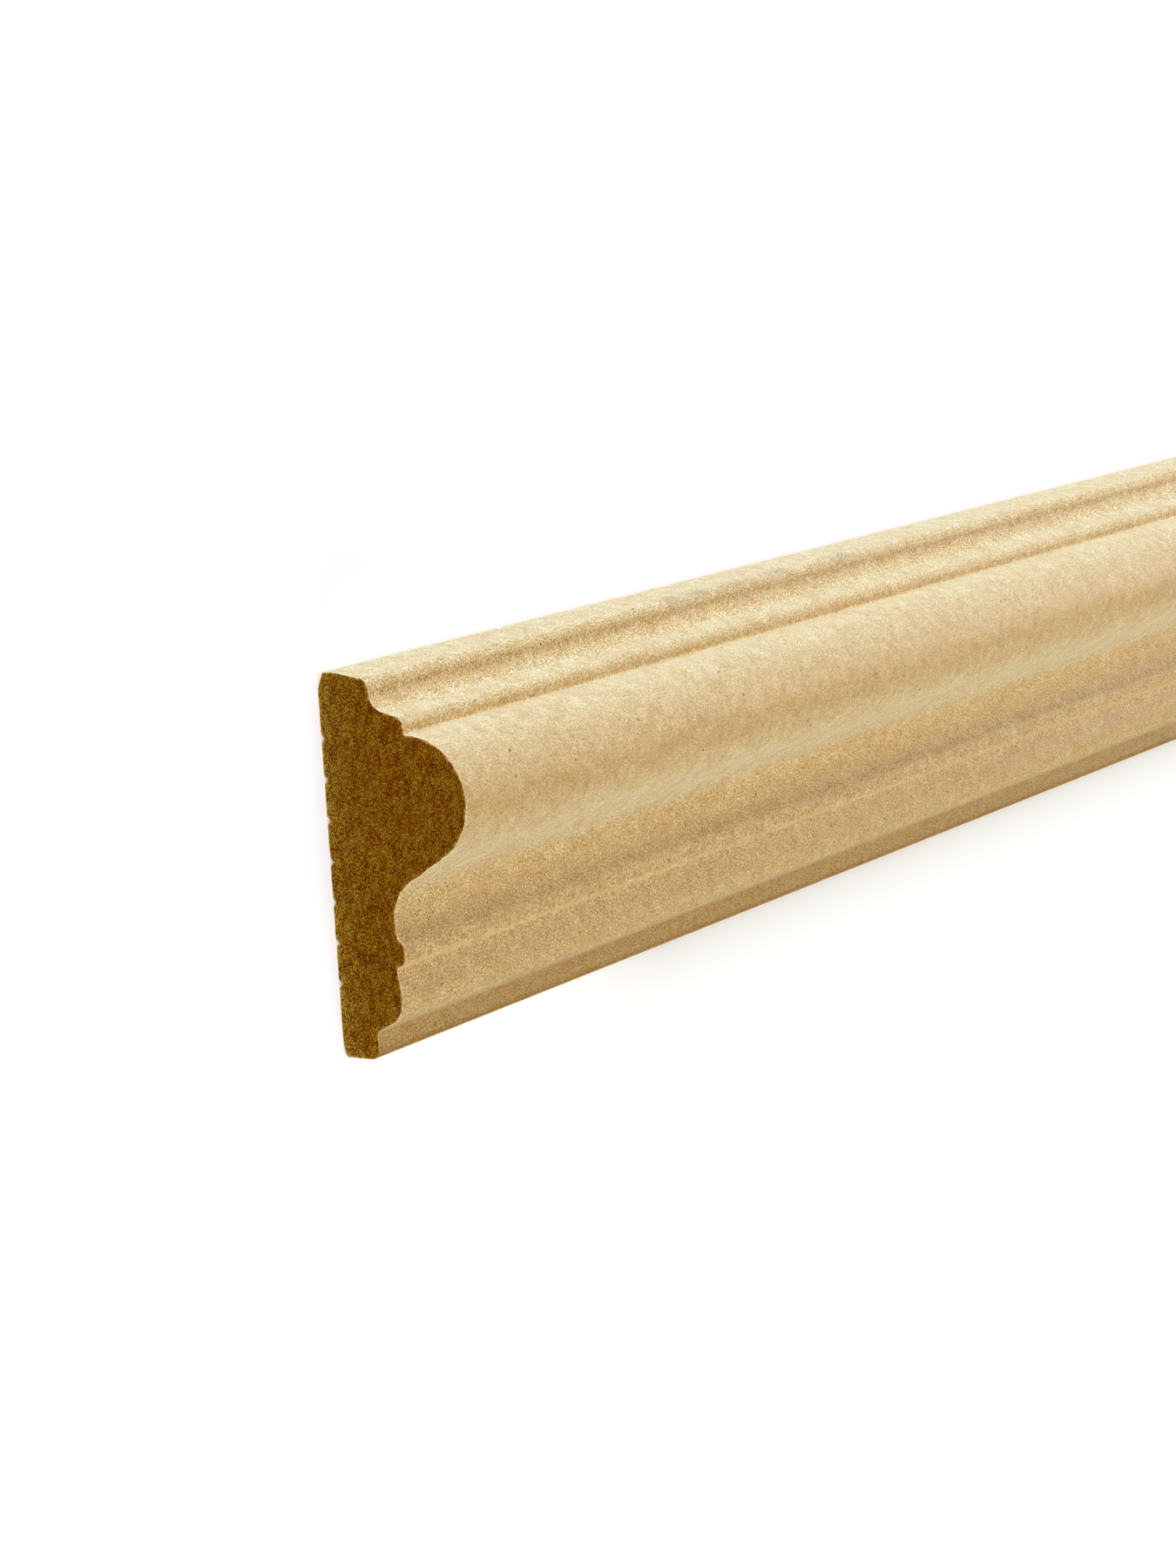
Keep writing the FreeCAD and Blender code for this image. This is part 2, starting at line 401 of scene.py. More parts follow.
# %% Corners of the back, with its keying grooves
BACK_TOP_EASING_OUT = 1.0
BACK_TOP_EASING_HEIGHT = 2.5
BACK_TOP_EASING_RADIUS = 1.5
BACK_TOP_ARRIS_RADIUS = 0.5
BACK_BOTTOM_EASING_OUT = 0.28
BACK_BOTTOM_EASING_HEIGHT = 3.2
BACK_BOTTOM_EASING_RADIUS = 6.0
BACK_BOTTOM_ARRIS_RADIUS = 0.9
GROOVE_COUNT = 7
GROOVE_ROW_RISE = 0.65
GROOVE_PITCH = 6.15
GROOVE_WIDTH = 1.4
GROOVE_DEPTH = 0.5
GROOVE_ARRIS_RADIUS = 0.2
GROOVE_ROOT_RADIUS = 0.08

from_row_middle = (GROOVE_COUNT - 1) / 2 - np.arange(GROOVE_COUNT)
groove_ups = width_mm / 2 + GROOVE_ROW_RISE + GROOVE_PITCH * from_row_middle
back_corners = [
    (BACK_TOP_EASING_OUT, width_mm, BACK_TOP_ARRIS_RADIUS),
    (0.0, width_mm - BACK_TOP_EASING_HEIGHT, BACK_TOP_EASING_RADIUS),
]
for up in groove_ups:
    back_corners.append((0.0, up + GROOVE_WIDTH / 2, GROOVE_ARRIS_RADIUS))
    back_corners.append((GROOVE_DEPTH, up, GROOVE_ROOT_RADIUS))
    back_corners.append((0.0, up - GROOVE_WIDTH / 2, GROOVE_ARRIS_RADIUS))
back_corners.append((0.0, BACK_BOTTOM_EASING_HEIGHT, BACK_BOTTOM_EASING_RADIUS))
back_corners.append((BACK_BOTTOM_EASING_OUT, 0.0, BACK_BOTTOM_ARRIS_RADIUS))

corners = np.array(face_corners + [crown_corner] + back_corners)
BOTTOM_ARRIS = 0
TOP_ARRIS = len(face_corners) - 1
BACK_TOP_ARRIS = len(face_corners) + 1
BACK_BOTTOM_ARRIS = len(corners) - 1
print("the section has", len(corners), "corners")

# %% Round the corners
ARC_STEPS = 24


def rounded(corners):
    """The closed outline with each corner as an arc that touches both its sides.

    The arc's centre lies on the corner's bisector, at the radius over the cosine of half the
    turn. The arc swings by half the turn to each side of the bisector."""
    points, radius = corners[:, :2], corners[:, 2]
    to_next = np.roll(points, -1, axis=0) - points
    to_next /= np.linalg.norm(to_next, axis=1, keepdims=True)
    to_last = -np.roll(to_next, 1, axis=0)
    half_turn = np.arccos(np.clip(-(to_last * to_next).sum(axis=1), -1, 1)) / 2
    inward = (to_last + to_next) / np.linalg.norm(to_last + to_next, axis=1, keepdims=True)
    onward = (to_next - to_last) / np.linalg.norm(to_next - to_last, axis=1, keepdims=True)
    centre = points + inward * (radius / np.cos(half_turn))[:, None]
    swing = half_turn[:, None, None] * np.linspace(-1, 1, ARC_STEPS + 1)[:, None]
    across = onward[:, None] * np.sin(swing) - inward[:, None] * np.cos(swing)
    return centre[:, None] + radius[:, None, None] * across


arcs = rounded(corners)
print("outline of", arcs.shape[0] * arcs.shape[1], "points")

# %% [markdown]
# ## From outline to skin
# The outline is cut at the middle of four arcs into four sides: bottom, face, top and back. Points
# are then laid along each side, closer together where it bends, so that a nick of a quarter of a
# millimetre gets as many points as it needs and a flat gets few. The skin is that ring, repeated
# at stations along the length: a grid with the station one way and the ring the other. Blender's
# own extrude would give the same walls, but here every point's place round the section is known,
# and the finish will need that.

# %% Cut the outline into four sides
TURN_WORTH = 2.2
SAME_POINT = 1e-6


def side_between(first, last):
    """The outline from the middle of one corner's arc to the middle of another's."""
    middles = np.array([first, last]) * (ARC_STEPS + 1) + ARC_STEPS // 2
    path = arcs.reshape(-1, 2)[np.arange(middles[0], middles[1] + 1) % (arcs.size // 2)]
    moved_on = np.linalg.norm(np.diff(path, axis=0), axis=1) > SAME_POINT
    return path[np.append(True, moved_on)]


def worth(path):
    """What the path is worth up to each of its points: its length in millimetres, plus TURN_WORTH
    for each radian that it has turned."""
    step = np.diff(path, axis=0)
    turn = np.abs(np.diff(np.unwrap(np.arctan2(step[:, 1], step[:, 0]))))
    turn_at_step = (np.append(turn, 0) + np.insert(turn, 0, 0)) / 2
    each = np.linalg.norm(step, axis=1) + TURN_WORTH * turn_at_step
    return np.insert(np.cumsum(each), 0, 0.0)


def points_at(path, measure, places):
    """Points on the path where its measure, which grows along it, has these values."""
    return np.stack([np.interp(places, measure, path[:, i]) for i in (0, 1)], axis=1)


face_path = side_between(BOTTOM_ARRIS, TOP_ARRIS)
top_path = side_between(TOP_ARRIS, BACK_TOP_ARRIS)
back_path = side_between(BACK_TOP_ARRIS, BACK_BOTTOM_ARRIS)[::-1]
bottom_path = side_between(BACK_BOTTOM_ARRIS, BOTTOM_ARRIS + len(corners))
print("points along the face:", len(face_path), "and along the back:", len(back_path))

# %% Match the back's heights to the face's
ROWS = 256
RUN_SHARE = 0.1
LEVELS_PER_ROW = 20

# A point of the face has a level: its height as a share, with a tenth of it taken from the length
# run instead, so that it still grows along a ledge
face_run = np.insert(np.cumsum(np.linalg.norm(np.diff(face_path, axis=0), axis=1)), 0, 0.0)
face_rise = (face_path[:, 1] - face_path[0, 1]) / (face_path[-1, 1] - face_path[0, 1])
face_level = (1 - RUN_SHARE) * face_rise + RUN_SHARE * face_run / face_run[-1]

# The back is level with the face at the upper quirk, where the face turns sharpest, and at the ends
quirk_point = np.linalg.norm(face_path - [upper_quirk_out, torus_top_up], axis=1).argmin()
back_heights = [back_path[0, 1], torus_top_up, back_path[-1, 1]]
back_level = np.interp(back_path[:, 1], back_heights, [0.0, face_level[quirk_point], 1.0])

# Both get points at the same levels, as many as the two need together
fine_levels = np.linspace(0, 1, LEVELS_PER_ROW * ROWS)
both_worth = np.interp(fine_levels, face_level, worth(face_path))
both_worth += np.interp(fine_levels, back_level, worth(back_path))
levels = np.interp(np.linspace(0, both_worth[-1], ROWS + 1), both_worth, fine_levels)
face_side = points_at(face_path, face_level, levels)
back_side = points_at(back_path, back_level, levels)[::-1]
print("rows are", round(np.diff(levels).min() * width_mm, 3), "mm apart at the closest")

# %% Join the four sides into a ring
COLUMNS = 44

top_side, bottom_side = [
    points_at(path, worth(path), np.linspace(0, worth(path)[-1], COLUMNS + 1))
    for path in (top_path, bottom_path)
]

# The ring starts in the middle of the bottom arris and is in metres, as Y and Z
ring_mm = np.concatenate([face_side[:-1], top_side[:-1], back_side[:-1], bottom_side[:-1]])
ring = np.stack([low[1] + ring_mm[:, 1] * MM, low[2] + ring_mm[:, 0] * MM], axis=1)
ring_steps = np.linalg.norm(np.roll(ring, -1, axis=0) - ring, axis=1)
ring_at = np.append(0.0, np.cumsum(ring_steps))

# Inward is the direction in which the ring runs, turned by a quarter
tangent = np.roll(ring, -1, axis=0) - np.roll(ring, 1, axis=0)
tangent /= np.linalg.norm(tangent, axis=1, keepdims=True)
ring_inward = np.stack([tangent[:, 1], -tangent[:, 0]], axis=1)
print("ring of", len(ring), "points,", round(ring_at[-1] / MM, 2), "mm round")

# %% [markdown]
# ## The length, and the arris that the saw leaves
# The length is cut to size by a saw, and the arris of a sawn end is never quite sharp: fibres
# break away along it. A Bevel modifier would round it evenly. Here the arris is a quarter round
# whose radius changes at random from point to point, and the stations crowd towards the cut.

# %% Stations along the length
# Those over the arris are listed one by one, the next ones each lie a like share further from the
# cut, and the ones in the middle are evenly apart. A strip is a quarter of the length, as the flat
# pattern further down is cut
END_STATIONS_MM = np.array([0.0, 0.02, 0.05, 0.09, 0.14, 0.2, 0.3, 0.5])
FIRST_LONG_STATION_MM = 0.8
LONG_STATIONS = 30
MIDDLE_STATIONS = 7
STRIPS = 4

strip_length = rail_length / STRIPS
long_stations = np.geomspace(FIRST_LONG_STATION_MM * MM, strip_length, LONG_STATIONS)
middle_stations = np.linspace(strip_length, rail_length / 2, MIDDLE_STATIONS)[1:]
half_stations = np.concatenate([END_STATIONS_MM * MM, long_stations, middle_stations])
stations = np.concatenate([half_stations, rail_length - half_stations[-2::-1]])
print(len(stations), "stations")

# %% Wear the arrises
ARRIS_KNOTS = 260
LEAST_WEAR_MM = 0.04
MOST_WEAR_MM = 0.16
WEAR_SEED = 11

rng = np.random.default_rng(WEAR_SEED)


def arris_wear():
    """How far the saw cut's edge is worn at each ring point, in metres: random values at even
    knots round the ring, and straight lines between them."""
    knots = rng.uniform(LEAST_WEAR_MM, MOST_WEAR_MM, ARRIS_KNOTS)
    around = ring_at[:-1] / ring_at[-1]
    return np.interp(around, np.linspace(0, 1, ARRIS_KNOTS), knots, period=1) * MM


def inset(distance, wear):
    """The inset of a quarter-round arris at this distance from the cut. Its radius is the longest
    side of a right-angled triangle, and what the distance leaves of the radius is a second side.
    The inset is the radius less the third."""
    left = np.clip(wear - distance, 0, None)
    return wear - np.sqrt(wear**2 - left**2)


near_wear, far_wear = arris_wear(), arris_wear()
from_cut = stations[:, None]
inward = inset(from_cut, near_wear) + inset(rail_length - from_cut, far_wear)
skin = np.empty((len(stations), len(ring), 3))
skin[:, :, 0] = (low[0] + stations)[:, None]
skin[:, :, 1:] = ring + inward[:, :, None] * ring_inward
print("the near arris is worn by", (near_wear.mean() / MM).round(3), "mm on average")

# %% [markdown]
# ## The sawn ends
# Each end is the section itself, filled in. A Coons patch does that for any outline with four
# sides: straight rows run between two of the sides, and near the other two they take on the bow
# that those have. Its rim is exactly the skin's rim, so the two close without a gap. One big flat
# face would look the same, but a grid can carry values for the finish, such as how near the
# outline a point is.

# %% Fill an end
BOW_FADE = 24


def coons_patch(bottom, top, left, right):
    """The grid inside four sides. Straight rows join left to right, and to them is added how far
    bottom and top bow from their own straight lines, which fades by a power of the way across."""
    u = np.linspace(0, 1, len(bottom))[None, :, None]
    v = np.linspace(0, 1, len(left))[:, None, None]
    bottom_bow = bottom[None] - (1 - u) * bottom[0] - u * bottom[-1]
    top_bow = top[None] - (1 - u) * top[0] - u * top[-1]
    rows = (1 - u) * left[:, None] + u * right[:, None]
    return rows + (1 - v) ** BOW_FADE * bottom_bow + v**BOW_FADE * top_bow


# Numbers of the ring's points along the patch's sides, each read upward or outward
face_points = np.arange(ROWS + 1)
top_points = np.arange(ROWS, ROWS + COLUMNS + 1)[::-1]
back_points = np.arange(ROWS + COLUMNS, 2 * ROWS + COLUMNS + 1)[::-1]
bottom_points = np.arange(2 * ROWS + COLUMNS, len(ring) + 1) % len(ring)


def end_grid(rim):
    """One end as a grid of points, from its rim of ring points."""
    return coons_patch(rim[bottom_points], rim[top_points], rim[back_points], rim[face_points])


near_end, far_end = end_grid(skin[0]), end_grid(skin[-1])
print("each end is a grid of", near_end.shape[:2])

# %% [markdown]
# ## One closed mesh
# The skin and the two ends share the points of their rims, so each point is stored once and has a
# number. A grid of numbers gives its faces by taking the four numbers round each cell. The three
# could also be made apart and merged by distance, but points as close as those of the worn arris
# might then merge by mistake. This way the mesh is closed as it is made.

# %% Number the points
ring_count = len(ring)
skin_numbers = np.arange(len(stations) * ring_count).reshape(len(stations), ring_count)
inside_shape = (ROWS - 1, COLUMNS - 1)
inside_count = inside_shape[0] * inside_shape[1]


def end_numbers(station, first_inside):
    """Numbers of an end's grid: the skin's own at its rim, and new ones inside."""
    numbers = np.empty((ROWS + 1, COLUMNS + 1), int)
    numbers[1:-1, 1:-1] = first_inside + np.arange(inside_count).reshape(inside_shape)
    numbers[0] = skin_numbers[station, bottom_points]
    numbers[-1] = skin_numbers[station, top_points]
    numbers[:, 0] = skin_numbers[station, back_points]
    numbers[:, -1] = skin_numbers[station, face_points]
    return numbers


near_numbers = end_numbers(0, skin_numbers.size)
far_numbers = end_numbers(-1, skin_numbers.size + inside_count)
print("points:", skin_numbers.size + 2 * inside_count)

# %% Make the mesh
# An edge that turns by more than this stays crisp, and all others are shaded smooth
SHARP_ANGLE = np.radians(40.0)


def quads(grid):
    """The four corners of every cell of a grid of numbers, in order round the cell."""
    corner_numbers = [grid[:-1, :-1], grid[1:, :-1], grid[1:, 1:], grid[:-1, 1:]]
    return np.stack(corner_numbers, axis=-1).reshape(-1, 4)


closed_numbers = np.concatenate([skin_numbers, skin_numbers[:, :1]], axis=1)
skin_faces = quads(closed_numbers)
near_faces = quads(near_numbers)[:, ::-1]
far_faces = quads(far_numbers)
faces = np.concatenate([skin_faces, near_faces, far_faces])
inside_points = [end[1:-1, 1:-1].reshape(-1, 3) for end in (near_end, far_end)]
vertices = np.concatenate([skin.reshape(-1, 3), *inside_points])

rail_mesh = bpy.data.meshes.new("moulded_rail")
rail_mesh.from_pydata(vertices.tolist(), [], faces.tolist())
rail_mesh.shade_smooth()
rail_mesh.set_sharp_from_angle(angle=SHARP_ANGLE)
rail = bpy.data.objects.new("moulded_rail", rail_mesh)
bpy.context.scene.collection.objects.link(rail)
print("triangles:", 2 * len(faces))

# %% Say which faces are moulded, sawn and sanded
MOULDED, SAWN, SANDED = 0, 1, 2

ring_numbers = np.arange(ring_count)
is_face = ring_numbers < ROWS
is_back = (ring_numbers >= ROWS + COLUMNS) & (ring_numbers < 2 * ROWS + COLUMNS)
skin_kinds = np.tile(np.where(is_back, SANDED, MOULDED), len(stations) - 1)
kinds = np.concatenate([skin_kinds, np.full(len(near_faces) + len(far_faces), SAWN)])
rail_mesh.polygons.foreach_set("material_index", kinds.astype(np.int32))
print("faces of each kind:", np.bincount(kinds))

# %% [markdown]
# ## A flat pattern of the skin
# A UV map says where each face lies on a flat sheet, as a sewing pattern does. One strip of 2.4 m
# would leave most of a square sheet empty, so the skin is cut into four strips that lie side by
# side, and the two ends lie beside them at twice their size.

# %% Lay out the strips
PATTERN_GAP = 3 * MM
END_ENLARGED = 2.0
TINY_SHARE = 1e-9

# From left to right the sheet has a gap, the strips, a gap, the two ends and a gap
pattern_size = strip_length + 3 * PATTERN_GAP + END_ENLARGED * rail_thickness


def on_pattern(across, up_the_sheet):
    """Places on the sheet as shares of its size, with a gap left at its border."""
    places = np.stack(np.broadcast_arrays(across, up_the_sheet), axis=-1)
    return places / pattern_size + PATTERN_GAP / pattern_size


# The tiny share keeps a station that starts a strip from falling into the one before it
strip_number = (stations[:-1, None] / strip_length + TINY_SHARE).astype(int)
strip_up = strip_number * (ring_at[-1] + PATTERN_GAP)
here = stations[:-1, None] - strip_number * strip_length
there = stations[1:, None] - strip_number * strip_length
ring_here = strip_up + ring_at[None, :-1]
ring_next = strip_up + ring_at[None, 1:]
cell_corners = [(here, ring_here), (there, ring_here), (there, ring_next), (here, ring_next)]
skin_uv = np.stack([on_pattern(*corner) for corner in cell_corners], axis=2).reshape(-1, 4, 2)
print("pattern sheet is", round(pattern_size / MM), "mm square")

# %% Lay out the ends


def end_uv(faces, up_the_sheet):
    """The end laid flat beside the strips, enlarged, since it is looked at closely."""
    corner_points = vertices[faces]
    across = strip_length + PATTERN_GAP + END_ENLARGED * (corner_points[..., 2] - low[2])
    return on_pattern(across, up_the_sheet + END_ENLARGED * (corner_points[..., 1] - low[1]))


near_uv = end_uv(near_faces, 0.0)
far_uv = end_uv(far_faces, END_ENLARGED * rail_width + PATTERN_GAP)
all_uv = np.concatenate([skin_uv, near_uv, far_uv])
bake_layer = rail_mesh.uv_layers.new(name="OFBake")
bake_layer.data.foreach_set("uv", all_uv.ravel())
print("the pattern fills the sheet up to", all_uv.reshape(-1, 2).max(axis=0).round(3))

# %% [markdown]
# ## What the finish depends on
# A shader only knows the spot that it colours, so what the whole shape says about that spot is
# worked out here and stored in the mesh as attributes, one number a point. They could be painted
# on by hand, but worked out from the section they fit every member and are even along the rail:
#
# - how far the surface faces along the width, for a painted highlight: a ledge faces the light from
#   above or below and is paler, and a fillet faces out and stays tan. It is weaker lower down.
# - a painted shade along the bottom edge, which darkens it.
# - from_rim: how far a point of a sawn end is from the outline, in millimetres.

# %% Attributes of the skin


def store(name, values):
    """Keeps one number for each point of the mesh, under this name."""
    rail_mesh.attributes.new(name, "FLOAT", "POINT").data.foreach_set("value", values)
    print(name, "goes from", values.min().round(3), "to", values.max().round(3))


def round_every_station(around):
    """The same ring of numbers at every station, and nought inside the ends."""
    return np.append(np.tile(around, len(stations)), np.zeros(2 * inside_count))


# How far up the face the painted shade of the bottom edge goes, in millimetres, and how strong
# it is there: the most at the bottom arris, then even over the fillet, fading over the lower ovolo
BOTTOM_SHADE_UPS = (0.7, 1.6, 4.5, 8.5)
BOTTOM_SHADE_SHARES = (1.0, 0.48, 0.48, 0.0)

# Up to which height the painted highlight on the ledges is weaker, and from which it is whole,
# and how much of it is left at each
HIGHLIGHT_UPS = (20.0, 28.0)
HIGHLIGHT_SHARES = (0.5, 1.0)

# The painted highlight is this power of how far the surface faces along the width: nought on a
# fillet and one on a ledge
STEEP_POWER = 1.6

painted_bottom_shade = np.interp(ring_mm[:, 1], BOTTOM_SHADE_UPS, BOTTOM_SHADE_SHARES) * is_face
painted_highlight = np.abs(ring_inward[:, 0]) ** STEEP_POWER
painted_highlight *= np.interp(ring_mm[:, 1], HIGHLIGHT_UPS, HIGHLIGHT_SHARES)
store("painted_highlight", round_every_station(painted_highlight))
store("painted_bottom_shade", round_every_station(painted_bottom_shade))

# %% Distance from the outline
inside_2d = np.concatenate(inside_points)[:inside_count, None, 1:]
rim_distance = np.linalg.norm(inside_2d - ring[None], axis=2).min(axis=1) / MM
store("from_rim", np.concatenate([np.zeros(skin_numbers.size), rim_distance, rim_distance]))

# %% [markdown]
# ## Moulded fibreboard
# Medium density fibreboard, MDF, is wood ground to fibres and pressed with resin. Where cutters
# have run along it, it is a soft tan with no grain of its own: matt, velvety, and covered all
# over in fine specks, the cut ends of fibres. The faces of the board are pressed hardest and cut
# smoothest, and the middle of the board is looser and cuts rougher, so the members that lie deep
# in the section are more speckled than the nose. Here and there is a dark fleck of bark.
#
# An image would repeat along 2.4 m of rail. Noise in the object's own coordinates never does, and
# it is cut through by the shape as real board is. All its scales are sizes in millimetres. Fibres
# are about 0.05 mm thick, too fine to show, so the specks are drawn at 0.3 mm.

# %% Ground colour
CLOUD_MM = 9.0
CLOUD_LEVELS = (0.45, 0.75)
REDDISH_SHARE = 0.15
# How far from each end the painted shade reaches, in millimetres, and how strong it is at the end
END_SHADE_MM = 230.0
END_SHADE_SHARE = 0.05

mdf, tree, output = new_material("moulded_mdf")
place = add(tree, "TexCoord").outputs["Object"]
along_rail, _, out = add(tree, "SeparateXYZ", {0: place}).outputs
# The painted highlight of the ledges and the painted shade of the bottom edge, as stored in the mesh
painted_highlight_here = add(tree, "Attribute", attribute_name="painted_highlight").outputs["Fac"]
painted_bottom_shade_here = add(tree, "Attribute", attribute_name="painted_bottom_shade").outputs["Fac"]

# In clouds here and there the board is a little redder
cloud = {"Vector": place, "Scale": 1 / (CLOUD_MM * MM), "Detail": 2.0}
cloud = add(tree, "TexNoise", cloud).outputs[0]
redder = {"Value": cloud, "From Min": CLOUD_LEVELS[0], "From Max": CLOUD_LEVELS[1]}
redder = add(tree, "MapRange", redder | {"To Max": REDDISH_SHARE}).outputs[0]

# Painted shade: towards its two ends the rail is a little browner
from_middle = add(tree, "Math", {0: along_rail}, operation="ABSOLUTE").outputs[0]
end_shade = {"Value": from_middle, "From Min": rail_length / 2 - END_SHADE_MM * MM}
end_shade |= {"From Max": rail_length / 2, "To Max": END_SHADE_SHARE}
end_shade = add(tree, "MapRange", end_shade).outputs[0]

tan = linear("#e1c389")
# The tan takes the painted highlight, the painted shade of the bottom edge, the redder clouds and
# the painted shade towards the ends, in turn
shades = (
    (painted_highlight_here, "#e2d7b0"),
    (painted_bottom_shade_here, "#96701a"),
    (redder, "#d39a6e"),
    (end_shade, "#c09452"),
)
for share, colour in shades:
    layers = {0: share, MIX_A: tan, MIX_B: linear(colour)}
    tan = add(tree, "Mix", layers, data_type="RGBA").outputs[MIX_RESULT]
print("the ground has", len(tree.nodes), "nodes")

# %% Specks and smudges
NOISE_MIDDLE = 0.5


def varied(tree, colour, pattern, contrast):
    """The colour, times one plus how far the pattern is above its middle times the contrast,
    which is given for red, green and blue."""
    level = tuple(1 - NOISE_MIDDLE * value for value in contrast)
    gain = {0: pattern, 1: contrast, 2: level}
    gain = add(tree, "VectorMath", gain, operation="MULTIPLY_ADD").outputs[0]
    return add(tree, "VectorMath", {0: colour, 1: gain}, operation="MULTIPLY").outputs[0]


SPECK_MM = 0.3
SPECK_CONTRAST = (1.3, 2.0, 3.2)
SMUDGE_MM = 2.2
SMUDGE_CONTRAST = (0.4, 0.65, 1.1)

speck_noise = {"Scale": 1 / (SPECK_MM * MM), "Detail": 2.0, "Roughness": 0.6}
speck = add(tree, "TexNoise", speck_noise | {"Vector": place}).outputs[0]
smudge = {"Vector": place, "Scale": 1 / (SMUDGE_MM * MM), "Detail": 3.0}
smudge = add(tree, "TexNoise", smudge).outputs[0]
print("specks of", SPECK_MM, "mm and smudges of", SMUDGE_MM, "mm")

# %% Where the specks stand out
# They stand out more deep in the board, where it is loose, than near its pressed front, and less
# on the ledges, under the painted highlight
SMOOTH_OUT = 19.0
ROUGH_OUT = 12.0
ROUGH_CONTRAST = 1.7
LEDGE_START = 0.82
LEDGE_CONTRAST = 0.5

looseness = {"Value": out, "From Min": ROUGH_OUT * MM, "From Max": SMOOTH_OUT * MM}
looseness |= {"To Min": ROUGH_CONTRAST, "To Max": 1.0}
looseness = add(tree, "MapRange", looseness).outputs[0]
ledge = {"Value": painted_highlight_here, "From Min": LEDGE_START, "From Max": 1.0}
ledge |= {"To Min": 1.0, "To Max": LEDGE_CONTRAST}
ledge = add(tree, "MapRange", ledge).outputs[0]
looseness = add(tree, "Math", {0: looseness, 1: ledge}, operation="MULTIPLY").outputs[0]
speck_rise = add(tree, "Math", {0: speck, 1: NOISE_MIDDLE}, operation="SUBTRACT").outputs[0]
loose_speck = {0: speck_rise, 1: looseness, 2: NOISE_MIDDLE}
loose_speck = add(tree, "Math", loose_speck, operation="MULTIPLY_ADD").outputs[0]
tan = varied(tree, tan, loose_speck, SPECK_CONTRAST)
tan = varied(tree, tan, smudge, SMUDGE_CONTRAST)
print("deep in the board they have", ROUGH_CONTRAST, "times the contrast of its front")

# %% Flecks of bark and small pits
# Each kind is a cell size and a radius in millimetres. A cell holds one ball, which shows only
# where the surface cuts through it, and the core of a ball is as dark as it gets
SPOTS_MM = ((1.5, 0.14), (4.2, 0.3))
SPOT_CORE_SHARE = 0.6
BARK = "#4a2000"
BARK_COVER = 0.8

spots = []
for cell_mm, radius_mm in SPOTS_MM:
    cells = add(tree, "TexVoronoi", {"Vector": place, "Scale": 1 / (cell_mm * MM)})
    radius = radius_mm / cell_mm
    spot = {"Value": cells.outputs["Distance"], "From Min": SPOT_CORE_SHARE * radius}
    spot |= {"From Max": radius, "To Min": 1.0, "To Max": 0.0}
    spots.append(add(tree, "MapRange", spot).outputs[0])
spot = add(tree, "Math", {0: spots[0], 1: spots[1]}, operation="MAXIMUM").outputs[0]
cover = add(tree, "Math", {0: spot, 1: BARK_COVER}, operation="MULTIPLY").outputs[0]
layers = {0: cover, MIX_A: tan, MIX_B: linear(BARK)}
tan = add(tree, "Mix", layers, data_type="RGBA").outputs[MIX_RESULT]
print("cells of", SPOTS_MM[0][0], "and", SPOTS_MM[1][0], "mm, with a ball in each")

# %% Scuffs on the top arris
# A few faint grey marks, where the rail has knocked against something: how far each lies from the
# near end, and their common place in the section, length and width, all in millimetres
SCUFFS_FROM_END = (88.0, 95.5, 110.0, 123.0, 146.0)
SCUFF_UP, SCUFF_OUT = 57.15, 7.9
SCUFF_LENGTH, SCUFF_WIDTH = 3.6, 1.1
SCUFF_COLOUR = "#a39c84"
SCUFF_COVER = 0.4

# A mark is whole up to the first of these, and gone from the second. They are distances from its
# middle in its own lengths and widths, times the smudges' noise, which makes its outline ragged
SCUFF_WHOLE, SCUFF_GONE = 0.1, 0.75

nearest = None
for from_end in SCUFFS_FROM_END:
    away = {0: along_rail, 1: low[0] + from_end * MM}
    away = add(tree, "Math", away, operation="SUBTRACT").outputs[0]
    away = add(tree, "Math", {0: away}, operation="ABSOLUTE").outputs[0]
    closer = {0: away, 1: nearest or away}
    nearest = add(tree, "Math", closer, operation="MINIMUM").outputs[0]

scuff_line = (0.0, -(low[1] + SCUFF_UP * MM), -(low[2] + SCUFF_OUT * MM))
offset = add(tree, "VectorMath", {0: place, 1: scuff_line}, operation="ADD").outputs[0]
_, higher, further_out = add(tree, "SeparateXYZ", {0: offset}).outputs
offset = add(tree, "CombineXYZ", {0: nearest, 1: higher, 2: further_out}).outputs[0]
per_size = (1 / (SCUFF_LENGTH * MM), 1 / (SCUFF_WIDTH * MM), 1 / (SCUFF_WIDTH * MM))
offset = add(tree, "VectorMath", {0: offset, 1: per_size}, operation="MULTIPLY").outputs[0]
distance = add(tree, "VectorMath", {0: offset}, operation="LENGTH").outputs["Value"]
ragged = add(tree, "Math", {0: distance, 1: smudge}, operation="MULTIPLY").outputs[0]
scuff = {"Value": ragged, "From Min": SCUFF_WHOLE, "From Max": SCUFF_GONE}
scuff |= {"To Min": SCUFF_COVER, "To Max": 0.0}
scuff = add(tree, "MapRange", scuff).outputs[0]
layers = {0: scuff, MIX_A: tan, MIX_B: linear(SCUFF_COLOUR)}
tan = add(tree, "Mix", layers, data_type="RGBA").outputs[MIX_RESULT]
print(len(SCUFFS_FROM_END), "scuffs")

# %% What the three surfaces share
# The resin gives all three the IOR of a common plastic. Nearly all of a noise lies between these
# two levels
MDF_IOR = 1.5
NOISE_LOW, NOISE_HIGH = 0.2, 0.8


